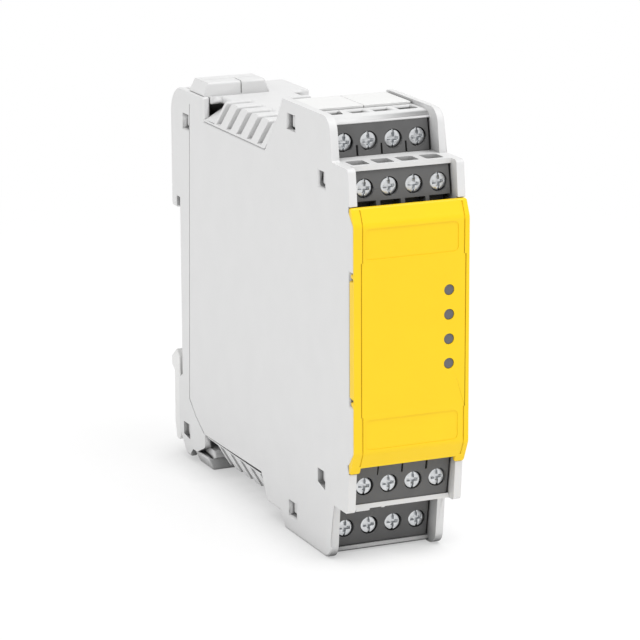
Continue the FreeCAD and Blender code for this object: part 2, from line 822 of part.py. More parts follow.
def cover_outline():
    """Section of the cover over the side walls: crowned ends, ear, snap nubs, side strip and lug."""
    crown_slope = "crown_in / crown_run"
    return [
        ("crown_in", "cover_high"),
        ("0", "crown_high"),
        ("0", "crown_low"),
        (f"crown_in + lug_drop * {crown_slope}", "lug_low"),
        ("lug_rear", "lug_low"),
        ("lug_rear", "lug_high - fit_gap"),
        ("cover_lip", "crown_low"),
        ("cover_lip", "strip_low + fit_gap"),
        ("nub_rear", "strip_low + fit_gap"),
        ("nub_rear", "strip_low + nub_tall"),
        ("cover_lip", "strip_low + nub_tall"),
        ("cover_lip", "strip_low + notch_tall"),
        ("strip_rear", "strip_low + notch_tall"),
        ("strip_rear", "strip_high - notch_tall"),
        ("cover_lip", "strip_high - notch_tall"),
        ("cover_lip", "strip_high - nub_tall"),
        ("nub_rear", "strip_high - nub_tall"),
        ("nub_rear", "strip_high - fit_gap"),
        ("cover_lip", "strip_high - fit_gap"),
        ("cover_lip", "crown_high"),
        ("ear_rear", "cover_high - ear_fall"),
        ("ear_rear", "cover_high"),
    ]


def cover_middle():
    """Section of the cover between the side walls, before it is hollowed."""
    return [
        ("crown_in + fit_gap", "cover_high"),
        ("cover_lip / 2", "crown_high"),
        ("cover_lip / 2", "crown_low"),
        ("crown_in + fit_gap", "cover_low"),
        ("strip_rear", "cover_low"),
        ("strip_rear", "cover_high"),
    ]


def skin_loop(low, high):
    """Thin strip that follows the face of the cover between two heights, for its seams."""
    slope = "crown_in / crown_run"
    return [
        ("-overshoot", low[0]),
        (f"seam_deep + {low[1]} * {slope}", low[0]),
        *[("seam_deep", turn) for turn in (low[2], high[2]) if turn],
        (f"seam_deep + {high[1]} * {slope}", high[0]),
        ("-overshoot", high[0]),
    ]


def cut_seams(body):
    """Two seams down the face, which stand a little further out between the label fields."""
    upper_jog = "cover_high - seam_jog_in"
    lower_jog = "cover_low + seam_jog_in"
    top = ("cover_high - seam_end", "(crown_run - seam_end)", "crown_high")
    foot = ("cover_low + seam_end", "(crown_run - seam_end)", "crown_low")
    spans = {
        "upper": ((upper_jog, "0", None), top, "-seam_jog"),
        "middle": ((lower_jog, "0", None), (upper_jog, "0", None), "0"),
        "lower": (foot, (lower_jog, "0", None), "-seam_jog"),
    }
    for side, sense, inset in (("left", "-1", "left_seam_in"), ("right", "1", "right_seam_in")):
        for name, (low, high, shift) in spans.items():
            middle = f"({sense}) * (width / 2 - {inset} + ({shift}))"
            extrude(body, f"seam_{side}_{name}", "YZ_Plane", f"{middle} - seam_wide / 2", "seam_wide",
                    [skin_loop(low, high)], cut=True)


def make_front_cover():
    """Snap-on cover: crowned at both ends, with ears, lugs, side strips, seams and two label fields."""
    body = new_body("front_cover")
    extrude(body, "face", "YZ_Plane", "-width / 2", "width", [cover_outline()])
    extrude(body, "middle", "YZ_Plane", "-cover_inner", "2 * cover_inner", [cover_middle()])
    crowns = [(world("0"), end) for end in ("crown_high", "crown_low")]
    round_edges(body, "crowns", crowns, "crown_radius")
    extrude(body, "lug_gap", "XZ_Plane", world("-overshoot"), "lug_rear + 2 * overshoot",
            [box_loop("-width / 2 + lug_inner", "width / 2 - lug_inner", "lug_low - overshoot", "cover_low")],
            cut=True)
    extrude(body, "hollow", "XZ_Plane", world("cover_wall"), "ear_rear",
            [box_loop("-cover_inner + cover_wall", "cover_inner - cover_wall",
                      "crown_low", "crown_high")], cut=True)
    cut_seams(body)
    fields = [box_loop("-width / 2 + field_in", "width / 2 - field_in", low, f"{low} + field_tall")
              for low in ("cover_low + field_from_end", "cover_high - field_from_end - field_tall")]
    extrude(body, "label_fields", "XZ_Plane", world("-overshoot"), "overshoot + field_sunk", fields, cut=True)
    corners = [corner for field in fields for corner in field]
    round_edges(body, "field_corners", corners, "field_corner", axis="y")
    extrude(body, "lamp_holes", "XZ_Plane", world("-overshoot"), "2 * overshoot + cover_wall", [], cut=True,
            circles=[(centre, "lamp_wide") for centre in lamp_places()])
    return body


def lamp_places():
    """Centres of the indicator windows, from the lowest to the highest."""
    return [("lamp_x", f"lamp_first + {number} * lamp_pitch") for number in range(LAMPS)]


def make_light_guide():
    """One clear moulding: a bar behind the cover with four round pegs that fill its holes."""
    body = new_body("light_guide")
    top = f"lamp_first + {LAMPS - 1} * lamp_pitch + lamp_wide"
    extrude(body, "bar", "XZ_Plane", world("cover_wall + fit_gap"), "guide_thick",
            [box_loop("lamp_x - guide_half", "guide_outer", "lamp_first - lamp_wide", top)])
    extrude(body, "pegs", "XZ_Plane", world("lamp_sunk"), "cover_wall", [],
            circles=[(centre, "lamp_wide - 2 * lamp_clear") for centre in lamp_places()])
    return body


# ---------------------------------------------------------------- terminals

def make_terminal_block(row_name, lean):
    """Insulating block with a leaning face, screw wells, clamp pockets and dividing ribs or grooves."""
    body = new_body(f"terminal_block_{row_name}")
    low, high, face, pole = (f"{row_name}_{key}" for key in ("low", "high", "face", "pole"))
    long = "front_block_long" if row_name.endswith("front") else "rear_block_long"
    profile = [
        (f"{face} + ({low} - {pole}) * face_lean * {lean}", low),
        (f"{face} + {long}", low),
        (f"{face} + {long}", high),
        (f"{face} + ({high} - {pole}) * face_lean * {lean}", high),
    ]
    extrude(body, "block", "YZ_Plane", "-block_half", "2 * block_half", [profile])
    wells = [((x, pole), "screw_head + 2 * screw_clear") for x in pole_places()]
    extrude(body, "wells", "XZ_Plane", world(f"{face} - 2 * overshoot"),
            "2 * overshoot + screw_sunk + screw_head_thick + fit_gap", [], cut=True, circles=wells)
    below, above = ("cage_tall / 2 + tail_thick + fit_gap", "cage_tall / 2 + fit_gap")[::lean]
    pockets = [box_loop(f"{x} - cage_wide / 2 - fit_gap", f"{x} + cage_wide / 2 + fit_gap",
                        f"{pole} - ({below})", f"{pole} + {above}") for x in pole_places()]
    extrude(body, "clamp_pockets", "XZ_Plane", world(f"{face} + cage_set - cage_back"), "rear_block_long",
            pockets, cut=True)
    bores = [many_sided(x, pole, "(screw_core + 2 * screw_clear)") for x in pole_places()]
    extrude(body, "bores", "XZ_Plane", world(face), "cage_set", bores, cut=True)
    divide_block(body, row_name, low, high, face)
    return body


def divide_block(body, row_name, low, high, face):
    """Ribs or grooves that part the poles on the face of a block."""
    if row_name == "top_front":
        edges = ["-block_half - overshoot", *pole_borders(), "block_half + overshoot"]
        recesses = [box_loop(f"{left} + rib_wide / 2", f"{right} - rib_wide / 2", f"{low} - overshoot",
                             "cover_high + rib_rise") for left, right in zip(edges, edges[1:])]
        extrude(body, "recesses", "XZ_Plane", world(f"{face} - 2 * overshoot"), "2 * overshoot + rib_recess",
                recesses, cut=True)
        return
    spans = {
        "top_rear": (pole_borders(), f"{low} - overshoot", f"{low} + short_groove"),
        "bottom_front": (pole_borders(), f"{high} - tall_groove", f"{high} + overshoot"),
        "bottom_rear": (["0"], f"{high} - short_groove", f"{high} + overshoot"),
    }
    places, bottom, top = spans[row_name]
    grooves = [box_loop(f"{x} - groove_wide / 2", f"{x} + groove_wide / 2", bottom, top) for x in places]
    extrude(body, "grooves", "XZ_Plane", world(f"{face} - 2 * overshoot"), "2 * overshoot + groove_deep",
            grooves, cut=True)


def many_sided(x, pole, diameter):
    """Many-sided loop about a pole axis that stands for a threaded surface."""
    turn = 360 / CORE_SIDES
    return [(f"{x} + {diameter} / 2 * cos({turn * side} deg)", f"{pole} + {diameter} / 2 * sin({turn * side} deg)")
            for side in range(CORE_SIDES)]


def make_screws(row_name):
    """Four captive clamp screws: round head with a combined slot and cross recess, and shank."""
    body = new_body(f"screws_{row_name}")
    pole = f"{row_name}_pole"
    face = f"{row_name}_face + screw_sunk"
    extrude(body, "heads", "XZ_Plane", world(face), "screw_head_thick", [],
            circles=[((x, pole), "screw_head") for x in pole_places()])
    extrude(body, "shanks", "XZ_Plane", world(f"{face} + screw_head_thick"), "screw_long - screw_head_thick",
            [many_sided(x, pole, "screw_core") for x in pole_places()])
    for name, long, tall in (("slots", "cross_long", "slot_wide"), ("crosses", "slot_wide", "cross_long")):
        recesses = [box_loop(f"{x} - {long} / 2", f"{x} + {long} / 2", f"{pole} - {tall} / 2", f"{pole} + {tall} / 2")
                    for x in pole_places()]
        extrude(body, name, "XZ_Plane", world(f"{face} - overshoot"), "overshoot + slot_deep", recesses, cut=True)
    return body


def make_clamps(row_name):
    """Four rising clamps: square rings that the wire enters, each threaded for its screw."""
    body = new_body(f"clamps_{row_name}")
    pole = f"{row_name}_pole"
    front = f"{row_name}_face + cage_set"
    extrude(body, "rings", "XZ_Plane", world(front), "cage_long",
            [box_loop(f"{x} - cage_wide / 2", f"{x} + cage_wide / 2", f"{pole} - cage_tall / 2",
                      f"{pole} + cage_tall / 2") for x in pole_places()])
    extrude(body, "mouths", "XY_Plane", f"{pole} - cage_tall / 2 - overshoot", "cage_tall + 2 * overshoot",
            [box_loop(f"{x} - cage_wide / 2 + cage_skin", f"{x} + cage_wide / 2 - cage_skin",
                      f"{front} + cage_skin", f"{front} + cage_long - cage_skin") for x in pole_places()], cut=True)
    extrude(body, "threads", "XZ_Plane", world(f"{front} - overshoot"), "overshoot + 2 * cage_skin",
            [many_sided(x, pole, "(screw_core + 2 * thread_clear)") for x in pole_places()], cut=True)
    return body


def make_tails(row_name, lean):
    """Four tinned bars that the wires are pulled against, which leave past the clamps."""
    body = new_body(f"tails_{row_name}")
    pole = f"{row_name}_pole"
    start = f"{row_name}_face + cage_set + cage_long - cage_skin - fit_gap - tail_thick"
    leg = f"(cage_tall / 2 + tail_clear) * {-lean}"
    far = f"(cage_tall / 2 + tail_clear + tail_thick) * {-lean}"
    near_end = f"(cage_tall / 2 - tail_short) * {lean}"
    profile = [
        (start, f"{pole} + {near_end}"),
        (start, f"{pole} + {far}"),
        (f"{start} + tail_long", f"{pole} + {far}"),
        (f"{start} + tail_long", f"{pole} + {leg}"),
        (f"{start} + tail_thick", f"{pole} + {leg}"),
        (f"{start} + tail_thick", f"{pole} + {near_end}"),
    ]
    bar = extrude(body, "bar", "YZ_Plane", f"{pole_places()[0]} - tail_wide / 2", "tail_wide", [profile])
    repeat(body, "bars", bar, "X_Axis", "pole_pitch", POLES)
    return body


def make_terminals():
    """The four rows: block, screws, clamps and tails."""
    for row_name, lean in ROWS.items():
        make_terminal_block(row_name, lean)
        make_screws(row_name)
        make_clamps(row_name)
        make_tails(row_name, lean)


def make_tower_plates():
    """Pair of marking plates let into the upper end of the tower behind the wire entries."""
    half = "width / 2 - wall - plate_side"
    for name, left, right in (("left", f"-({half})", "-plate_gap / 2"), ("right", "plate_gap / 2", half)):
        body = new_body(f"top_plate_{name}")
        extrude(body, "plate", "XY_Plane", "plate_top", "plate_thick",
                [box_loop(left, right, "tower_entry + entry_long + plate_end", "tower_rear - plate_end")])


# ---------------------------------------------------------------- rail latch

def make_latch():
    """Sliding foot latch with a bevelled nose for the rail and a guiding tongue."""
    body = new_body("rail_latch")
    profile = [
        ("foot_rear + latch_gap", "latch_low + latch_toe / 2"),
        ("foot_rear + latch_toe", "latch_low"),
        ("foot_rear + 2 * latch_toe", "latch_low"),
        ("latch_back", "latch_low + latch_heel"),
        ("latch_back", "latch_shoulder"),
        ("depth", "latch_shoulder + latch_step"),
        ("depth", "nose_top - nose_face"),
        ("depth - latch_in - nose_slope", "nose_top"),
        ("foot_rear + nose_set", "nose_top - nose_slope"),
        ("foot_rear + nose_set", "latch_shoulder + latch_step / 2"),
        ("foot_rear + latch_gap", "latch_shoulder"),
    ]
    extrude(body, "slider", "YZ_Plane", "-width / 2 + latch_side", "width - 2 * latch_side", [profile])
    extrude(body, "tongue", "YZ_Plane", "-tongue_half", "2 * tongue_half",
            [box_loop("tongue_front", "foot_rear + 2 * latch_gap", "tongue_low", "tongue_high")])
    extrude(body, "tongue_head", "YZ_Plane", "-tongue_half - tongue_head", "2 * (tongue_half + tongue_head)",
            [box_loop("tongue_front", "rail_face - wall - latch_gap", "tongue_low", "tongue_high")])
    extrude(body, "driver_slot", "XZ_Plane", world("foot_rear + latch_toe"), "depth - foot_rear",
            [box_loop("-driver_half", "driver_half", "latch_low + driver_low",
                      "latch_low + driver_low + driver_tall")], cut=True)
    return body


def make_latch_spring():
    """Folded strip spring under the tongue: flat bars joined at alternate ends."""
    body = new_body("latch_spring")
    low = "(roof_low + wall + spring_seat)"
    pitch = f"(tongue_low - spring_seat - spring_sheet - {low}) / {SPRING_BARS - 1}"
    left = []
    right = []
    for number in range(SPRING_BARS - 1):
        under, over = (f"{low} + {pitch} * {number} + spring_sheet", f"{low} + {pitch} * {number + 1}")
        open_side, sense = (left, "-1") if number % 2 == 0 else (right, "1")
        inside = f"({sense}) * (-spring_half + spring_sheet)"
        outside = f"({sense}) * spring_half"
        open_side += [(outside, under), (inside, under), (inside, over), (outside, over)]
    top = f"{low} + {pitch} * {SPRING_BARS - 1} + spring_sheet"
    loop = [("-spring_half", low), ("spring_half", low), *right, ("spring_half", top), ("-spring_half", top),
            *reversed(left)]
    extrude(body, "strip", "XZ_Plane", world("tongue_front + spring_set"), "spring_deep", [loop])
    return body


# ---------------------------------------------------------------- boards and their parts

def make_block(label, x_range, depth_range, height_range):
    """Plain block between pairs of formulas."""
    body = new_body(label)
    extrude(body, "block", "YZ_Plane", x_range[0], f"({x_range[1]}) - ({x_range[0]})",
            [box_loop(*depth_range, *height_range)])
    return body


def make_electronics():
    """Main board with two relays, converter, chips and capacitors, and the lamp board."""
    make_block("main_board", ("board_x", "board_x + board_thick"), ("board_front", "board_rear"),
               ("board_low", "board_high"))
    make_block("lamp_board", ("-lamp_board_half", "lamp_board_half"),
               ("lamp_board_set", "lamp_board_set + board_thick"),
               ("cover_low + lamp_board_in", "cover_high - lamp_board_in"))
    make_block("board_link", ("board_x - link_wide", "board_x"),
               ("lamp_board_set + board_thick", "board_front + link_reach"),
               ("board_low + link_rise", "board_low + link_rise + link_tall"))
    for name in COMPONENTS:
        front = f"board_front + {name}_from_front"
        low = f"board_low + {name}_up"
        make_block(name, (f"board_x - {name}_thick", "board_x"), (front, f"{front} + {name}_long"),
                   (low, f"{low} + {name}_tall"))
    for name in CANS:
        body = new_body(name)
        centre = (f"board_front + {name}_from_front", f"board_low + {name}_up")
        extrude(body, "can", "YZ_Plane", f"board_x - {name}_tall", f"{name}_tall", [],
                circles=[(centre, f"{name}_across")])


# ---------------------------------------------------------------- the whole module

def build():
    """Make every sub-part of the module."""
    make_housing()
    make_side_cover()
    make_front_cover()
    make_light_guide()
    make_terminals()
    make_tower_plates()
    make_latch()
    make_latch_spring()
    make_electronics()


def check_and_write():
    """Stop at any failed object, then write one file for each sub-part."""
    doc.recompute()
    for item in doc.Objects:
        if "Invalid" in item.State or "Error" in item.State:
            raise RuntimeError(f"{item.Name} failed: {item.State}")
    os.makedirs("parts", exist_ok=True)
    for item in SUB_PARTS:
        shape = item.Shape
        if shape.isNull() or not shape.isValid():
            raise RuntimeError(f"{item.Label} has no valid shape")
        shape.exportStep(f"parts/{item.Label}.step")
        box = shape.BoundBox
        print(f"{item.Label:28s} solids {len(shape.Solids)} volume {shape.Volume:9.1f} "
              f"x {box.XMin:7.2f} {box.XMax:7.2f} y {box.YMin:7.2f} {box.YMax:7.2f} z {box.ZMin:7.2f} {box.ZMax:7.2f}")


build()
check_and_write()
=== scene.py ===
"""Looks of a slim safety relay: moulded grey housing, yellow cover, screw terminals, rail latch.

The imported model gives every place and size. Each class below takes one sub-assembly of the relay,
softens the edges of its mouldings, adds what is too fine for the construction model and dresses it.
"""
import json
import logging
import math
from dataclasses import dataclass
from enum import Enum
from typing import Any, Iterable, Optional

import bmesh
import bpy
from mathutils import Matrix, Vector


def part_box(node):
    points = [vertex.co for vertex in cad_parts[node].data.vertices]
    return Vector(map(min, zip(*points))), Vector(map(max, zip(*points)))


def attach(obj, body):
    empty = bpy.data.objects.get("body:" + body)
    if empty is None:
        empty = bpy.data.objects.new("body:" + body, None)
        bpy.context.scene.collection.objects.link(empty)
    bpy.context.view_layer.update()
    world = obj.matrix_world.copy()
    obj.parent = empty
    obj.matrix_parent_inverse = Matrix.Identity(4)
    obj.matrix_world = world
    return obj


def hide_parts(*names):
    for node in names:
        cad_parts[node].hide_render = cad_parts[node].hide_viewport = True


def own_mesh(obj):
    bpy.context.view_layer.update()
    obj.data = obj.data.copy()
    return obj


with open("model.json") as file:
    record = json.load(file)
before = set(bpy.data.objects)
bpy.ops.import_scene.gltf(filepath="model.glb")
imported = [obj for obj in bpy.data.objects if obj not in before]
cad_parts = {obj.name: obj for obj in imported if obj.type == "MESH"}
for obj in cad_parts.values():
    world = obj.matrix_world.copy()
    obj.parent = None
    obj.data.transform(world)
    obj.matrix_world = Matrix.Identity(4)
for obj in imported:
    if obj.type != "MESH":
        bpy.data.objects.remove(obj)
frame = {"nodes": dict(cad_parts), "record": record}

log = logging.getLogger("relay")
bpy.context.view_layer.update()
# metres in a millimetre
MM = 0.001
# screws in one row of terminals
POLES = 4

# corners of a square, in order round it
SQUARE = ((-1, -1), (1, -1), (1, 1), (-1, 1))

# edges that turn by more than this are rounded
EDGE_ANGLE = math.radians(30)
# faces of mouldings and of screws that turn by more than this keep a crease between them
CREASE_ANGLE = math.radians(38)
SCREW_CREASE = math.radians(35)
# faces that turn by less than this are one flat face
FLAT_ANGLE = math.radians(0.6)
# corners nearer to each other than this are one corner, in metres
SAME_PLACE = 1e-6
# distances below this are none, in metres
TOUCHING = 1e-7
# places along an edge where the room beside it is measured, as shares of its length
ROOM_SAMPLES = (0.15, 0.35, 0.5, 0.65, 0.85)
# room beside an edge, and clear length at its ends, that a rounding needs, in widths of the rounding
ROOM_NEEDED = 2.2
RUN_NEEDED = 1.5
# cosine above which two edges at a corner run too nearly alike for a rounding to end between them
NEARLY_ALIKE = 0.8
# how strongly large faces pull the shading of the corners that they share with small ones
FLAT_WEIGHT = 90

# values between which nearly all of a noise texture lies
NOISE_SPAN = {"From Min": 0.3, "From Max": 0.7}
# shares of open sky above a place, for the painted shade in recesses: fully shaded below the first, unshaded
# above the second
RECESS_SHADE_SPAN = {"From Min": 0.08, "From Max": 0.62}
# the same for the painted contact shadow on the floor
CONTACT_SHADOW_SPAN = {"From Min": 0.2, "From Max": 0.95}
# rays with which the openness of a place is felt, for the painted shade in recesses and on the floor
SHELTER_RAYS = 8
# how much the gloss varies with the grain, and how high the grain stands against its width
GLOSS_SPREAD = 0.12
GRAIN_HEIGHT = 0.35


class Body(Enum):
    """Bodies of the relay that pieces ride on."""

    MODULE = "module"
    LATCH = "latch"


class Row(Enum):
    """The four rows of terminals, by the name that their nodes end in."""

    TOP_REAR = "top_rear"
    TOP_FRONT = "top_front"
    BOTTOM_FRONT = "bottom_front"
    BOTTOM_REAR = "bottom_rear"


# ------------------------------------------------------------------ colour and nodes

def linear(colour: str) -> tuple[float, float, float, float]:
    """Turn an sRGB hex colour into the linear one that shaders use.

    Args:
        colour: six hex digits after a hash sign.

    Returns:
        Linear red, green and blue, and full opacity.
    """
    shares = [int(colour[place:place + 2], 16) / 255 for place in (1, 3, 5)]
    red, green, blue = [share / 12.92 if share <= 0.04045 else ((share + 0.055) / 1.055) ** 2.4
                        for share in shares]
    return (red, green, blue, 1.0)


def add_node(tree: bpy.types.NodeTree, kind: str, settings: Optional[dict[str, Any]] = None,
             links: Optional[dict[Any, bpy.types.NodeSocket]] = None) -> bpy.types.Node:
    """Add one node with its settings and what feeds it.

    Args:
        tree: node tree to add to.
        kind: Blender's type name of the node.
        settings: attributes of the node, or input sockets by name or number.
        links: output sockets to plug in, by the name or number of the input.

    Returns:
        The new node.
    """
    node = tree.nodes.new(kind)
    for key, number in (settings or {}).items():
        if isinstance(key, str) and hasattr(node, key):
            setattr(node, key, number)
        else:
            node.inputs[key].default_value = number
    for key, socket in (links or {}).items():
        tree.links.new(socket, node.inputs[key])
    return node


@dataclass(frozen=True)
class Finish:
    """What a surface is made of and how it was made, and how much shade is painted into its recesses.

    Args:
        name: plain name of the material and its process.
        colour: sRGB hex colour of the surface, before the painted shade in its recesses.
        roughness: mean roughness.
        grain_mm: size of the surface grain in millimetres.
        grain: height of that grain as a bump, 0 to 1.
        patch_mm: size of the slow changes in tone, in millimetres.
        patch: how much lighter or darker those changes are, 0 to 1.
        metallic: 1 for bare metal.
        ior: index of refraction, left at the usual 1.5 where not known.
        specular: strength of the clear reflection, 0.5 for a plain surface.
        recess: strength of the painted shade in narrow recesses and corners, how much darker the colour is
            made there, 0 to 1.
        recess_mm: width of the recesses that get painted shade, in millimetres.
    """

    name: str
    colour: str
    roughness: float
    grain_mm: float
    grain: float = 0.1
    patch_mm: float = 6.0
    patch: float = 0.03
    metallic: float = 0.0
    ior: float = 1.5
    specular: float = 0.5
    # strength and reach of the painted shade in recesses and corners
    recess: float = 0.35
    recess_mm: float = 3.0

    def material(self) -> bpy.types.Material:
        """Make the material of this finish the first time that it is asked for.

        Returns:
            The one material of this finish.
        """
        known = bpy.data.materials.get(self.name)
        if known:
            return known
        material = bpy.data.materials.new(self.name)
        material.use_nodes = True
        tree = material.node_tree
        tree.nodes.clear()
        place = add_node(tree, "ShaderNodeTexCoord")
        grain = add_node(tree, "ShaderNodeTexNoise",
                         {"Scale": 1 / (self.grain_mm * MM), "Detail": 3.0, "Roughness": 0.55},
                         {"Vector": place.outputs["Object"]})
        patch = add_node(tree, "ShaderNodeTexNoise",
                         {"Scale": 1 / (self.patch_mm * MM), "Detail": 2.0, "Roughness": 0.5},
                         {"Vector": place.outputs["Object"]})
        tone = add_node(tree, "ShaderNodeMapRange",
                        NOISE_SPAN | {"To Min": 1 - self.patch, "To Max": 1 + self.patch},
                        {"Value": patch.outputs["Fac"]})
        # painted shade: the colour is darkened where little open sky is near, as shade falls in recesses and
        # corners
        shelter = add_node(tree, "ShaderNodeAmbientOcclusion",
                           {"samples": SHELTER_RAYS, "Distance": self.recess_mm * MM})
        shade = add_node(tree, "ShaderNodeMapRange",
                         RECESS_SHADE_SPAN | {"To Min": 1 - self.recess, "To Max": 1.0},
                         {"Value": shelter.outputs["AO"]})
        # random tone times the painted shade
        level = add_node(tree, "ShaderNodeMath", {"operation": "MULTIPLY"},
                         {0: tone.outputs["Result"], 1: shade.outputs["Result"]})
        colour = add_node(tree, "ShaderNodeHueSaturation", {"Color": linear(self.colour)},
                          {"Value": level.outputs["Value"]})
        rough = add_node(tree, "ShaderNodeMapRange",
                         NOISE_SPAN | {"To Min": self.roughness * (1 - GLOSS_SPREAD),
                                       "To Max": self.roughness * (1 + GLOSS_SPREAD)},
                         {"Value": grain.outputs["Fac"]})
        bump = add_node(tree, "ShaderNodeBump",
                        {"Strength": self.grain, "Distance": self.grain_mm * MM * GRAIN_HEIGHT},
                        {"Height": grain.outputs["Fac"]})
        shader = add_node(tree, "ShaderNodeBsdfPrincipled",
                          {"Metallic": self.metallic, "IOR": self.ior, "Specular IOR Level": self.specular},
                          {"Base Color": colour.outputs["Color"], "Roughness": rough.outputs["Result"],
                           "Normal": bump.outputs["Normal"]})
        add_node(tree, "ShaderNodeOutputMaterial", {}, {"Surface": shader.outputs["BSDF"]})
        return material


# Grains are drawn several times coarser than the real ones, which are 0.02 to 0.05 mm and would not show.

# light grey polyamide from a spark-eroded mould: even and matt, with a dry grain; strong painted shade in
# its slots and recesses
GREY_POLYAMIDE = Finish("grey_polyamide_moulded", "#DADADA", 0.5, 0.16, grain=0.14, patch=0.010, recess=0.90,
                        recess_mm=8.0)
# the same polyamide on the small plates and the latch: a shade smoother, as from a polished insert; painted
# shade in its recesses
SMOOTH_POLYAMIDE = Finish("grey_polyamide_smooth", "#E2E2E1", 0.42, 0.12, grain=0.08, patch=0.008,
                          recess=0.5)
# signal yellow moulded polycarbonate: clean strong colour with a soft satin gloss, with painted shade
# darkening its seams
YELLOW_POLYCARBONATE = Finish("yellow_polycarbonate_moulded", "#F6CE08", 0.40, 0.14, grain=0.08,
                              patch=0.010, ior=1.58, specular=0.3, recess=0.45, recess_mm=0.9)
# glass-filled dark polyamide: slightly mottled by the fibres, with a dull sheen on its edges; painted shade
# in its recesses
DARK_POLYAMIDE = Finish("dark_polyamide_glass_filled", "#5A5A5A", 0.46, 0.1, grain=0.2, patch_mm=2.5,
                        patch=0.05, recess=0.75, recess_mm=2.0)
# zinc-plated steel with a bright blue-white passivation: broken reflections, uneven from spot to spot;
# painted shade in the driver recess
ZINC_PLATE = Finish("steel_zinc_plated", "#D6D8DA", 0.30, 0.20, grain=0.16, patch_mm=0.7, patch=0.12,
                    metallic=1.0, recess=0.3, recess_mm=0.7)
# dipped tinned copper bars: dull white metal, a little warm
TINNED_COPPER = Finish("copper_tinned", "#D0CDC6", 0.38, 0.2, grain=0.12, metallic=1.0)
# rolled spring steel strip: darker than the zinc, with a faint grain
SPRING_STEEL = Finish("spring_steel_rolled", "#8E9094", 0.32, 0.15, grain=0.12, metallic=1.0)
# smoke-tinted moulded acrylic: even mid grey discs with a smooth gloss
SMOKED_ACRYLIC = Finish("acrylic_smoked", "#66666A", 0.25, 0.3, grain=0.03, patch=0.02, ior=1.49,
                        specular=0.3)
# green solder mask over glass-epoxy board: mottled by the copper under it
SOLDER_MASK = Finish("glass_epoxy_green_mask", "#1F5A34", 0.35, 0.4, grain=0.15, patch_mm=1.5, patch=0.12)
# relay cases of moulded polyester: warm white with a clear gloss
RELAY_CASE = Finish("polyester_relay_case", "#DDDCD6", 0.3, 0.3, grain=0.04)
# moulded black epoxy of converter, chips and link: dull skin with a rough grain
BLACK_EPOXY = Finish("epoxy_black_moulded", "#232325", 0.48, 0.12, grain=0.25)
# drawn aluminium cans: bright metal with soft reflections
CAN_ALUMINIUM = Finish("aluminium_drawn", "#C9CBCE", 0.3, 0.2, grain=0.1, metallic=1.0)

FINISH_OF_SLOT = {
    "grey_housing": GREY_POLYAMIDE,
    "grey_plate": SMOOTH_POLYAMIDE,
    "grey_latch": SMOOTH_POLYAMIDE,
    "yellow_cover": YELLOW_POLYCARBONATE,
    "lamp_window": SMOKED_ACRYLIC,
    "dark_terminal": DARK_POLYAMIDE,
    "zinc_screw": ZINC_PLATE,
    "zinc_clamp": ZINC_PLATE,
    "tinned_bar": TINNED_COPPER,
    "spring_wire": SPRING_STEEL,
    "board": SOLDER_MASK,
    "relay_case": RELAY_CASE,
    "converter_case": BLACK_EPOXY,
    "chip": BLACK_EPOXY,
    "capacitor_can": CAN_ALUMINIUM,
    "link_body": BLACK_EPOXY,
}
SLOT_OF_NODE = {row["node"]: row["material_slot"] for row in frame["record"]["subparts"]}


# ------------------------------------------------------------------ mesh helpers

def place_in_scene(name: str, data: bpy.types.ID) -> bpy.types.Object:
    """Make an object of some mesh, lamp or camera data and put it in the scene.

    Args:
        name: name of the object.
        data: what it shows.

    Returns:
        The new object, at the origin.
    """
    item = bpy.data.objects.new(name, data)
    bpy.context.scene.collection.objects.link(item)
    return item


def finished_mesh(name: str, work: bmesh.types.BMesh) -> bpy.types.Mesh:
    """Turn a bmesh into a mesh and free it.

    Args:
        name: name of the mesh.
        work: bmesh in metres.

    Returns:
        The new mesh.
    """
    mesh = bpy.data.meshes.new(name)
    work.to_mesh(mesh)
    work.free()
    return mesh


def new_piece(name: str, mesh: bpy.types.Mesh, body: Body, slot: str) -> bpy.types.Object:
    """Put a mesh in the scene as a piece of the relay.

    Args:
        name: name of the piece.
        mesh: its mesh, in the frame's own coordinates.
        body: body that it rides on.
        slot: material slot of the record that it takes its finish from.

    Returns:
        The new object, dressed and riding.
    """
    piece = place_in_scene(name, mesh)
    mesh.materials.clear()
    mesh.materials.append(FINISH_OF_SLOT[slot].material())
    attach(piece, body.value)
    log.info("%s rides on %s", name, body.value)
    return piece


def smooth_by_angle(mesh: bpy.types.Mesh, angle: float) -> None:
    """Shade a mesh smooth, with creases where faces turn by more than the angle."""
    mesh.shade_smooth()
    mesh.set_sharp_from_angle(angle=angle)


def apply_modifiers(piece: bpy.types.Object) -> None:
    """Turn an object's modifiers into plain mesh.

    Args:
        piece: object whose modifiers are used up.
    """
    graph = bpy.context.evaluated_depsgraph_get()
    mesh = bpy.data.meshes.new_from_object(piece.evaluated_get(graph))
    piece.modifiers.clear()
    piece.data = mesh


def room_beside(face: bmesh.types.BMFace, edge: bmesh.types.BMEdge) -> float:
    """Measure how wide a face is next to one of its edges, where it is narrowest.

    Args:
        face: face that the edge belongs to.
        edge: the edge.

    Returns:
        Least distance across the face from the middle stretch of the edge, in metres.
    """
    loop = next(item for item in face.loops if item.edge == edge)
    start = loop.vert.co
    along = (loop.link_loop_next.vert.co - start).normalized()
    inward = face.normal.cross(along)
    long = edge.calc_length()
    least = math.inf
    for item in face.loops:
        if item.edge == edge:
            continue
        ends = [corner - start for corner in (item.vert.co, item.link_loop_next.vert.co)]
        (along_1, across_1), (along_2, across_2) = [(end.dot(along), end.dot(inward)) for end in ends]
        for share in ROOM_SAMPLES:
            place = share * long
            if (along_1 - place) * (along_2 - place) < 0:
                across = across_1 + (across_2 - across_1) * (place - along_1) / (along_2 - along_1)
                if across > TOUCHING:
                    least = min(least, across)
    return least


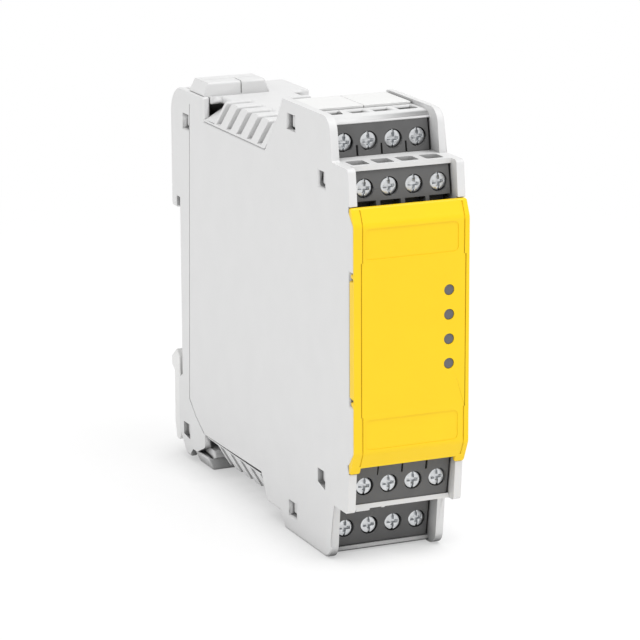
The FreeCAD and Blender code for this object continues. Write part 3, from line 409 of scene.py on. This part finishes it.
def has_room(edge: bmesh.types.BMEdge, width: float) -> bool:
    """Tell whether both faces beside an edge are wide enough to give up a rounding of that width."""
    return all(room_beside(face, edge) > ROOM_NEEDED * width for face in edge.link_faces)


def turns(edge: bmesh.types.BMEdge) -> bool:
    """Tell whether the surface turns sharply at an edge."""
    return edge.is_manifold and edge.calc_face_angle(0.0) > EDGE_ANGLE


def leads(edge: bmesh.types.BMEdge, vert: bmesh.types.BMVert, chosen: set[bmesh.types.BMEdge]) -> bool:
    """Tell whether an edge may be rounded up to a corner that stays partly sharp.

    Where a face is divided at such a corner, only the longest of its edges is rounded, so that the
    others keep their direction.

    Args:
        edge: edge to be rounded.
        vert: corner at one end of it.
        chosen: all edges that are to be rounded.

    Returns:
        Whether the edge may be rounded up to that corner.
    """
    here = [other for other in vert.link_edges if other in chosen]
    divided = any(not turns(other) for other in vert.link_edges)
    partly_sharp = any(turns(other) and other not in chosen for other in vert.link_edges)
    if not (divided and partly_sharp):
        return True
    return all(other == edge or other.calc_length() < edge.calc_length() for other in here)


def ends_well(edge: bmesh.types.BMEdge, chosen: set[bmesh.types.BMEdge], width: float) -> bool:
    """Tell whether a rounding can run out at both ends of an edge into the edges that stay sharp.

    Args:
        edge: edge to be rounded.
        chosen: all edges that are to be rounded.
        width: width of the rounding in metres.

    Returns:
        Whether both of its ends are clear.
    """
    for vert in edge.verts:
        if not leads(edge, vert, chosen):
            return False
        along = (edge.other_vert(vert).co - vert.co).normalized()
        for other in vert.link_edges:
            if other in chosen:
                continue
            away = other.other_vert(vert).co - vert.co
            alike = abs(away.normalized().dot(along)) > NEARLY_ALIKE
            if alike or away.length < RUN_NEEDED * width:
                return False
    return True


def round_off(work: bmesh.types.BMesh, width_mm: float, segments: int) -> None:
    """Round every sharp edge of a mesh that has room for it.

    Args:
        work: mesh to change, in metres.
        width_mm: width of the rounding.
        segments: steps in the rounding.
    """
    width = width_mm * MM
    chosen = {edge for edge in work.edges if turns(edge) and has_room(edge, width)}
    dropped = True
    while dropped:
        dropped = {edge for edge in chosen if not ends_well(edge, chosen, width)}
        chosen -= dropped
    in_order = [edge for edge in work.edges if edge in chosen]
    bmesh.ops.bevel(work, geom=in_order, offset=width, offset_type="OFFSET", segments=segments,
                    profile=0.5, affect="EDGES", clamp_overlap=False, miter_outer="SHARP",
                    miter_inner="SHARP")


@dataclass(frozen=True)
class Rounding:
    """Widths of the roundings that a mould leaves, the widest first.

    Args:
        widths_mm: one width for each pass over the mesh.
        segments: steps in each rounding.
    """

    widths_mm: tuple[float, ...]
    segments: int = 3


def soften(node: str, rounding: Rounding, body: Body = Body.MODULE,
           cutters: Iterable[bpy.types.Object] = ()) -> bpy.types.Object:
    """Copy a node of the frame with the rounded edges that its mould or tool leaves.

    Args:
        node: name of the node.
        rounding: how its edges are rounded.
        body: body that the piece rides on.
        cutters: loose objects to cut out of the rounded piece.

    Returns:
        The piece that stands for the node.
    """
    work = bmesh.new()
    work.from_mesh(frame["nodes"][node].data)
    bmesh.ops.remove_doubles(work, verts=work.verts, dist=SAME_PLACE)
    bmesh.ops.dissolve_limit(work, angle_limit=FLAT_ANGLE, use_dissolve_boundaries=False,
                             verts=work.verts, edges=work.edges, delimit={"NORMAL"})
    for width_mm in rounding.widths_mm:
        round_off(work, width_mm, rounding.segments)
    piece = new_piece(f"{node}_moulded", finished_mesh(f"{node}_mesh", work), body, SLOT_OF_NODE[node])
    for cutter in cutters:
        cut_with(piece, cutter)
    smooth_by_angle(piece.data, CREASE_ANGLE)
    flatten = piece.modifiers.new("flat_faces", "WEIGHTED_NORMAL")
    flatten.keep_sharp = True
    flatten.weight = FLAT_WEIGHT
    apply_modifiers(piece)
    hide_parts(node)
    return piece


def dress(node: str) -> None:
    """Give a node of the frame its finish and leave its shape as it is.

    Args:
        node: name of the node.
    """
    materials = frame["nodes"][node].data.materials
    materials.clear()
    materials.append(FINISH_OF_SLOT[SLOT_OF_NODE[node]].material())
    log.info("%s dressed", node)


def lathe(profile: Iterable[tuple[float, float]], steps: int) -> bmesh.types.BMesh:
    """Turn a profile of radius and height, in millimetres, about the Z axis.

    Args:
        profile: radius and height pairs from the axis outwards and back to it.
        steps: number of divisions round the axis.

    Returns:
        A closed mesh in metres.
    """
    work = bmesh.new()
    rings = []
    for radius, height in profile:
        if radius == 0:
            rings.append([work.verts.new((0, 0, height * MM))])
            continue
        ring = []
        for step in range(steps):
            turn = math.tau * step / steps
            across, along = radius * math.cos(turn), radius * math.sin(turn)
            ring.append(work.verts.new((across * MM, along * MM, height * MM)))
        rings.append(ring)
    for first, second in zip(rings, rings[1:]):
        for step in range(steps):
            after = (step + 1) % steps
            corners = [first[step % len(first)], first[after % len(first)],
                       second[after % len(second)], second[step % len(second)]]
            unique = list(dict.fromkeys(corners))
            if len(unique) > 2:
                work.faces.new(unique)
    bmesh.ops.recalc_face_normals(work, faces=work.faces)
    return work


def skin(rings: list[list[tuple[float, float, float]]]) -> bmesh.types.BMesh:
    """Close a solid over rings of equally many corners, capped at both ends.

    Args:
        rings: corners of each ring, in metres.

    Returns:
        A closed mesh.
    """
    work = bmesh.new()
    layers = [[work.verts.new(corner) for corner in ring] for ring in rings]
    work.faces.new(layers[0])
    work.faces.new(layers[-1])
    for low, high in zip(layers, layers[1:]):
        for side in range(len(low)):
            after = (side + 1) % len(low)
            work.faces.new([low[side], low[after], high[after], high[side]])
    bmesh.ops.recalc_face_normals(work, faces=work.faces)
    return work


@dataclass(frozen=True)
class RecessArm:
    """Tapered cutter for one arm of a screw's driver recess, open upwards along Z.

    Args:
        half_long_mm: half its length at the mouth.
        half_wide_mm: half its width at the mouth.
        deep_mm: depth of the recess.
        taper_mm: how far each long end draws in at the bottom.
        narrowing: width at the bottom against the width at the mouth.
        over_mm: how far the cutter stands above the mouth.
    """

    half_long_mm: float
    half_wide_mm: float
    deep_mm: float
    taper_mm: float = 0.0
    narrowing: float = 0.72
    over_mm: float = 0.3

    def cutter(self, turn: float = 0.0) -> bpy.types.Object:
        """Make the cutter.

        Args:
            turn: degrees by which it is turned about Z.

        Returns:
            A loose object whose mouth lies at height 0.
        """
        layers = ((self.over_mm, self.half_long_mm, self.half_wide_mm),
                  (0, self.half_long_mm, self.half_wide_mm),
                  (-self.deep_mm, self.half_long_mm - self.taper_mm, self.half_wide_mm * self.narrowing))
        work = skin([[(x * long * MM, y * wide * MM, height * MM) for x, y in SQUARE]
                     for height, long, wide in layers])
        bmesh.ops.rotate(work, verts=work.verts, matrix=Matrix.Rotation(math.radians(turn), 3, "Z"))
        return place_in_scene("recess_cutter", finished_mesh("recess_cutter", work))


def cut_with(item: bpy.types.Object, cutter: bpy.types.Object) -> None:
    """Cut a loose object out of another and remove it.

    Args:
        item: object to cut.
        cutter: loose object that is used up.
    """
    change = item.modifiers.new("cut", "BOOLEAN")
    change.operation = "DIFFERENCE"
    change.solver = "EXACT"
    change.object = cutter
    apply_modifiers(item)
    bpy.data.objects.remove(cutter, do_unlink=True)


# ------------------------------------------------------------------ sub-assemblies

@dataclass
class Housing:
    """Grey shell, its side cover and the plates let into the upper tower.

    The hoods behind the towers slope down to both side walls. Their roof and floor slabs stand a little
    proud of the slopes in the construction model and are trimmed to them here.

    Args:
        mouldings: rounding of the two large mouldings.
        plates: rounding of the small plates.
        roof_down_mm: how far the roof of the hood lies below the top of the shell.
        floor_up_mm: how far its floor lies above the bottom.
        slope_run_mm: width of a slope.
        slope_fall_mm: height of a slope.
        hood_rear_mm: distance from the rear of the shell to the rear end of the hoods.
        roof_front_mm: distance from the rear of the shell to the front end of the roof.
        floor_front_mm: distance from the rear of the shell to the front end of the floor.
        trim_deep_mm: height of what is trimmed.
        trim_in_mm: how far what is trimmed stays inside the side of the shell.
        trim_over_mm: how far the trimming prism stands over the slab.
        trim_play_mm: how far the trimmed slab stays proud, so that its faces don't coincide with the slope.
    """

    mouldings: Rounding = Rounding((0.45, 0.15))
    plates: Rounding = Rounding((0.12,))
    roof_down_mm: float = 6.4
    floor_up_mm: float = 2.8
    slope_run_mm: float = 2.7
    slope_fall_mm: float = 4.6
    hood_rear_mm: float = 19.9
    roof_front_mm: float = 50.4
    floor_front_mm: float = 47.4
    trim_deep_mm: float = 1.9
    trim_in_mm: float = 0.6
    trim_over_mm: float = 0.1
    trim_play_mm: float = 0.002

    def hood_trimmer(self, side: int, upper: bool) -> bpy.types.Object:
        """Make the prism that trims a slab to the slope of its hood, on one side.

        Args:
            side: -1 for the left side, 1 for the right.
            upper: whether the slab is the roof.

        Returns:
            A loose object whose leaning side lies just outside the slope.
        """
        low, high = (Vector(corner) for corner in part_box("housing_shell"))
        up = 1 if upper else -1
        level = high.z - self.roof_down_mm * MM if upper else low.z + self.floor_up_mm * MM
        front = high.y - (self.roof_front_mm if upper else self.floor_front_mm) * MM
        rear = high.y - self.hood_rear_mm * MM
        bend = high.x - (self.slope_run_mm - self.trim_play_mm) * MM
        lean = self.slope_run_mm / self.slope_fall_mm
        outer = high.x - self.trim_in_mm * MM
        over, deep = self.trim_over_mm * MM, self.trim_deep_mm * MM
        section = ((bend - over * lean, over), (bend + deep * lean, -deep), (outer, -deep), (outer, over))
        prism = skin([[(side * across, depth, level + up * rise) for across, rise in section]
                      for depth in (front, rear)])
        return place_in_scene("hood_trimmer", finished_mesh("hood_trimmer", prism))

    def build(self) -> None:
        """Soften and dress the mouldings."""
        trimmers = [self.hood_trimmer(side, upper) for side in (-1, 1) for upper in (True, False)]
        soften("housing_shell", self.mouldings, cutters=trimmers)
        soften("side_cover", self.mouldings)
        for node in ("top_plate_left", "top_plate_right"):
            soften(node, self.plates)


@dataclass
class FrontCover:
    """Yellow cover and the light guide behind it.

    Args:
        cover: rounding of the cover.
        guide: rounding of the light guide.
    """

    cover: Rounding = Rounding((0.3, 0.06))
    guide: Rounding = Rounding((0.06,))

    def build(self) -> None:
        """Soften and dress both mouldings."""
        soften("front_cover", self.cover)
        soften("light_guide", self.guide)


@dataclass
class ClampScrew:
    """Captive clamp screw with a combined slot and cross recess.

    Args:
        head_mm: diameter of the head.
        head_thick_mm: height of the head.
        core_mm: diameter of the shank over the thread.
        long_mm: length over all.
        thread_deep_mm: depth of the thread.
        thread_pitch_mm: pitch of the thread.
        slot_wide_mm: width of the slot.
        slot_deep_mm: depth of the slot.
        slot_over_mm: how far its cutter runs out beyond the rim.
        arm: one arm of the cross.
        edge_mm: width of the broken edges.
        steps: divisions round the screw.
    """

    head_mm: float = 3.2
    head_thick_mm: float = 1.3
    core_mm: float = 2.0
    long_mm: float = 5.0
    thread_deep_mm: float = 0.16
    thread_pitch_mm: float = 0.4
    slot_wide_mm: float = 0.44
    slot_deep_mm: float = 0.5
    slot_over_mm: float = 0.2
    arm: RecessArm = RecessArm(half_long_mm=1.14, half_wide_mm=0.32, deep_mm=0.8, taper_mm=0.36)
    edge_mm: float = 0.05
    steps: int = 48

    def profile(self) -> list[tuple[float, float]]:
        """Outline of the screw from the middle of its head to the tip of its shank.

        Returns:
            Radius and height pairs in millimetres, with the top of the head at height 0.
        """
        head, core = self.head_mm / 2, self.core_mm / 2
        root = core - self.thread_deep_mm
        crown = [(0, -0.02), (head * 0.55, -0.03), (head - 0.25, -0.06), (head - 0.07, -0.12), (head, -0.22)]
        under = [(head, -self.head_thick_mm + 0.08), (head - 0.08, -self.head_thick_mm),
                 (core, -self.head_thick_mm)]
        thread = []
        height = -self.head_thick_mm - 0.25
        while height > 0.5 - self.long_mm:
            thread += [(core, height), (root, height - self.thread_pitch_mm / 2)]
            height -= self.thread_pitch_mm
        tip = [(root, 0.2 - self.long_mm), (core - 0.4, -self.long_mm), (0, -self.long_mm)]
        return crown + under + thread + tip

    def mesh(self) -> bpy.types.Mesh:
        """Make the screw along +Z with the top of its head at the origin, shank downwards.

        Returns:
            Mesh of one screw in metres.
        """
        turned = lathe(self.profile(), self.steps)
        item = place_in_scene("clamp_screw", finished_mesh("clamp_screw", turned))
        slot = RecessArm(self.head_mm / 2 + self.slot_over_mm, self.slot_wide_mm / 2, self.slot_deep_mm)
        for cutter in (slot.cutter(), self.arm.cutter(), self.arm.cutter(90)):
            cut_with(item, cutter)
        bevel = item.modifiers.new("edges", "BEVEL")
        bevel.width = self.edge_mm * MM
        bevel.segments = 2
        bevel.limit_method = "ANGLE"
        bevel.angle_limit = SCREW_CREASE
        apply_modifiers(item)
        mesh = item.data.copy()
        bpy.data.objects.remove(item, do_unlink=True)
        return mesh


@dataclass
class Terminals:
    """One row of terminals: insulating block, screws, clamps and tinned bars.

    Args:
        row: which of the four rows.
        screw: shared mesh of one clamp screw.
        block: rounding of the block.
        screw_turns: degrees by which each screw is turned.
    """

    row: Row
    screw: bpy.types.Mesh
    block: Rounding = Rounding((0.1,), segments=2)
    screw_turns: tuple[float, ...] = (86.0, 93.0, 88.0, 95.0)

    def screw_places(self) -> list[Vector]:
        """Work out from the frame where the screws stand.

        Returns:
            Middle of each screw's head face, in metres.
        """
        low, high = (Vector(corner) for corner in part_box(f"screws_{self.row.value}"))
        radius = (high.z - low.z) / 2
        first = low.x + radius
        pitch = (high.x - low.x - 2 * radius) / (POLES - 1)
        return [Vector((first + pitch * number, low.y, low.z + radius)) for number in range(POLES)]

    def build_screws(self) -> None:
        """Four screws as one piece, each turned a little differently in its well."""
        work = bmesh.new()
        for place, turn in zip(self.screw_places(), self.screw_turns):
            copy = self.screw.copy()
            stand = Matrix.Translation(place) @ Matrix.Rotation(math.radians(90), 4, "X")
            copy.transform(stand @ Matrix.Rotation(math.radians(turn), 4, "Z"))
            work.from_mesh(copy)
            bpy.data.meshes.remove(copy)
        node = f"screws_{self.row.value}"
        mesh = finished_mesh(f"{node}_mesh", work)
        smooth_by_angle(mesh, SCREW_CREASE)
        piece = new_piece(f"{node}_turned", mesh, Body.MODULE, SLOT_OF_NODE[node])
        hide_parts(node)

    def build(self) -> None:
        """Make and dress the whole row."""
        soften(f"terminal_block_{self.row.value}", self.block)
        self.build_screws()
        for kind in ("clamps", "tails"):
            dress(f"{kind}_{self.row.value}")


@dataclass
class RailLatch:
    """Sliding latch of the foot and its spring.

    Args:
        latch: rounding of the latch.
        strip: rounding of the spring's strip.
        travel_mm: how far the latch slides; not used.
    """

    latch: Rounding = Rounding((0.3, 0.12))
    strip: Rounding = Rounding((0.06,), segments=2)
    travel_mm: float = 3.0

    def build(self) -> None:
        """Soften the latch and the spring, and give the spring a mesh of its own."""
        soften("rail_latch", self.latch, Body.LATCH)
        spring = soften("latch_spring", self.strip)
        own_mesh(spring)


@dataclass
class Electronics:
    """Boards and what they carry, inside the housing.

    Args:
        nodes: names of the parts.
        rounding: rounding of each of them.
    """

    nodes: tuple[str, ...] = ("main_board", "lamp_board", "safety_relay_a", "safety_relay_b",
                              "converter", "logic_chip_a", "logic_chip_b", "capacitor_large",
                              "capacitor_small", "board_link")
    rounding: Rounding = Rounding((0.15,), segments=2)

    def build(self) -> None:
        """Soften and dress each part."""
        for node in self.nodes:
            soften(node, self.rounding)


# ------------------------------------------------------------------ studio

@dataclass(frozen=True)
class Softbox:
    """Large square lamp aimed at the relay.

    Args:
        name: name of the lamp.
        place: where it hangs, in metres.
        power: watts.
        size: side of the square in metres.
        aim: place that it is aimed at, in metres.
    """

    name: str
    place: tuple[float, float, float]
    power: float
    size: float = 0.8
    aim: tuple[float, float, float] = (0.0, 0.0, 0.04)

    def build(self) -> None:
        """Hang the lamp."""
        data = bpy.data.lights.new(self.name, "AREA")
        data.energy = self.power
        data.shape = "SQUARE"
        data.size = self.size
        lamp = place_in_scene(self.name, data)
        turn = (Vector(self.aim) - Vector(self.place)).to_track_quat("-Z", "Y")
        lamp.matrix_world = Matrix.Translation(self.place) @ turn.to_matrix().to_4x4()


@dataclass
class Studio:
    """Pale floor, soft lamps and the camera.

    Args:
        yaw: degrees that the camera is turned from straight ahead, to see the relay's left side.
        pitch: degrees that it looks down.
        roll: degrees that it is tilted about its own axis.
        lens_mm: focal length.
        sensor_mm: width of the sensor.
        eye: place of the camera in metres.
        reach: nearest and farthest distance that the camera sees, in metres.
        lamps: the lamps.
        sky: strength of the even light from all round.
        floor_size: side of the square floor in metres.
        floor_glow: share of plain white in what is seen of the floor near the relay; the rest is shadow.
        shadow_near: distance from the relay at which the floor starts to turn plain white, in metres.
        shadow_far: distance at which it is all plain white.
        contact_shadow_wide: reach of the painted contact shadow, a dark line where the relay stands on the
            floor, in metres.
        contact_shadow_level: brightness of that painted shadow line at its darkest.
    """

    yaw: float = 23.5
    pitch: float = 14.12
    roll: float = -0.26
    lens_mm: float = 183.1
    sensor_mm: float = 36.0
    eye: tuple[float, float, float] = (-0.23755, -0.55102, 0.18685)
    reach: tuple[float, float] = (0.01, 50.0)
    lamps: tuple[Softbox, ...] = (Softbox("key_lamp", (0.3, -0.5, 1.4), power=11.6),
                                  Softbox("side_lamp", (-1.3, -0.5, 0.7), power=4.0))
    sky: float = 0.68
    floor_size: float = 6.0
    floor_glow: float = 0.78
    shadow_near: float = 0.08
    shadow_far: float = 0.3
    contact_shadow_wide: float = 0.01
    contact_shadow_level: float = 0.6

    def camera(self) -> None:
        """Place the camera at the viewing angle."""
        data = bpy.data.cameras.new("camera")
        data.lens = self.lens_mm
        data.sensor_width = self.sensor_mm
        data.clip_start, data.clip_end = self.reach
        camera = place_in_scene("camera", data)
        ahead = Matrix.Rotation(math.radians(-self.yaw), 4, "Z")
        down = Matrix.Rotation(math.radians(90 - self.pitch), 4, "X")
        tilt = Matrix.Rotation(math.radians(self.roll), 4, "Z")
        camera.matrix_world = Matrix.Translation(self.eye) @ ahead @ down @ tilt
        bpy.context.scene.camera = camera

    def seen(self, tree: bpy.types.NodeTree) -> bpy.types.NodeSocket:
        """Add nodes that tell where a surface is seen directly, in a reflection or through glass.

        Args:
            tree: node tree to add to.

        Returns:
            Socket that is 1 there and 0 elsewhere.
        """
        path = add_node(tree, "ShaderNodeLightPath")
        direct = add_node(tree, "ShaderNodeMath", {"operation": "MAXIMUM"},
                          {0: path.outputs["Is Camera Ray"], 1: path.outputs["Is Glossy Ray"]})
        through = add_node(tree, "ShaderNodeMath", {"operation": "MAXIMUM"},
                           {0: direct.outputs["Value"], 1: path.outputs["Is Transmission Ray"]})
        return through.outputs["Value"]

    def paper(self) -> bpy.types.Material:
        """Make the matt white of the floor, which shows plain white but keeps the relay's shadow, with a
        painted contact shadow where the relay stands.

        Returns:
            The material.
        """
        material = bpy.data.materials.new("paper_white_matt")
        material.use_nodes = True
        tree = material.node_tree
        tree.nodes.clear()
        matt = add_node(tree, "ShaderNodeBsdfDiffuse", {"Color": linear("#FFFFFF")})
        # painted contact shadow: the plain white is darkened where the relay stands close by
        shelter = add_node(tree, "ShaderNodeAmbientOcclusion",
                           {"samples": SHELTER_RAYS, "Distance": self.contact_shadow_wide})
        painted_contact_shadow = add_node(tree, "ShaderNodeMapRange",
                           CONTACT_SHADOW_SPAN | {"To Min": self.contact_shadow_level, "To Max": 1.0},
                           {"Value": shelter.outputs["AO"]})
        white = add_node(tree, "ShaderNodeEmission", {"Color": linear("#FFFFFF")},
                         {"Strength": painted_contact_shadow.outputs["Result"]})
        place = add_node(tree, "ShaderNodeTexCoord")
        far = add_node(tree, "ShaderNodeVectorMath", {"operation": "LENGTH"}, {0: place.outputs["Object"]})
        glow = add_node(tree, "ShaderNodeMapRange",
                        {"interpolation_type": "SMOOTHSTEP", "From Min": self.shadow_near,
                         "From Max": self.shadow_far, "To Min": self.floor_glow, "To Max": 1.0},
                        {"Value": far.outputs["Value"]})
        share = add_node(tree, "ShaderNodeMath", {"operation": "MULTIPLY"},
                         {0: self.seen(tree), 1: glow.outputs["Result"]})
        both = add_node(tree, "ShaderNodeMixShader", {},
                        {0: share.outputs["Value"], 1: matt.outputs["BSDF"], 2: white.outputs["Emission"]})
        add_node(tree, "ShaderNodeOutputMaterial", {}, {"Surface": both.outputs["Shader"]})
        return material

    def floor(self) -> None:
        """Lay the floor that the relay stands on."""
        half = self.floor_size / 2
        work = bmesh.new()
        work.faces.new([work.verts.new((x * half, y * half, 0)) for x, y in SQUARE])
        floor = place_in_scene("floor", finished_mesh("floor_mesh", work))
        floor.data.materials.append(self.paper())

    def world(self) -> None:
        """Light the relay evenly from all round, with plain white behind it where it is seen."""
        world = bpy.data.worlds.new("studio")
        bpy.context.scene.world = world
        world.use_nodes = True
        tree = world.node_tree
        tree.nodes.clear()
        lit = add_node(tree, "ShaderNodeBackground", {"Color": linear("#FFFFFF"), "Strength": self.sky})
        white = add_node(tree, "ShaderNodeBackground", {"Color": linear("#FFFFFF"), "Strength": 1.0})
        both = add_node(tree, "ShaderNodeMixShader", {},
                        {0: self.seen(tree), 1: lit.outputs["Background"], 2: white.outputs["Background"]})
        add_node(tree, "ShaderNodeOutputWorld", {}, {"Surface": both.outputs["Shader"]})

    def build(self) -> None:
        """Set up the whole studio."""
        bpy.context.scene.view_settings.view_transform = "Standard"
        self.camera()
        self.floor()
        self.world()
        for lamp in self.lamps:
            lamp.build()
        log.info("studio set up")


def main() -> None:
    """Build every sub-assembly in order."""
    logging.basicConfig(level=logging.INFO, format="%(name)s %(message)s")
    Studio().build()
    Housing().build()
    FrontCover().build()
    screw = ClampScrew().mesh()
    for row in Row:
        Terminals(row, screw).build()
    RailLatch().build()
    Electronics().build()


if __name__ == "__main__":
    main()
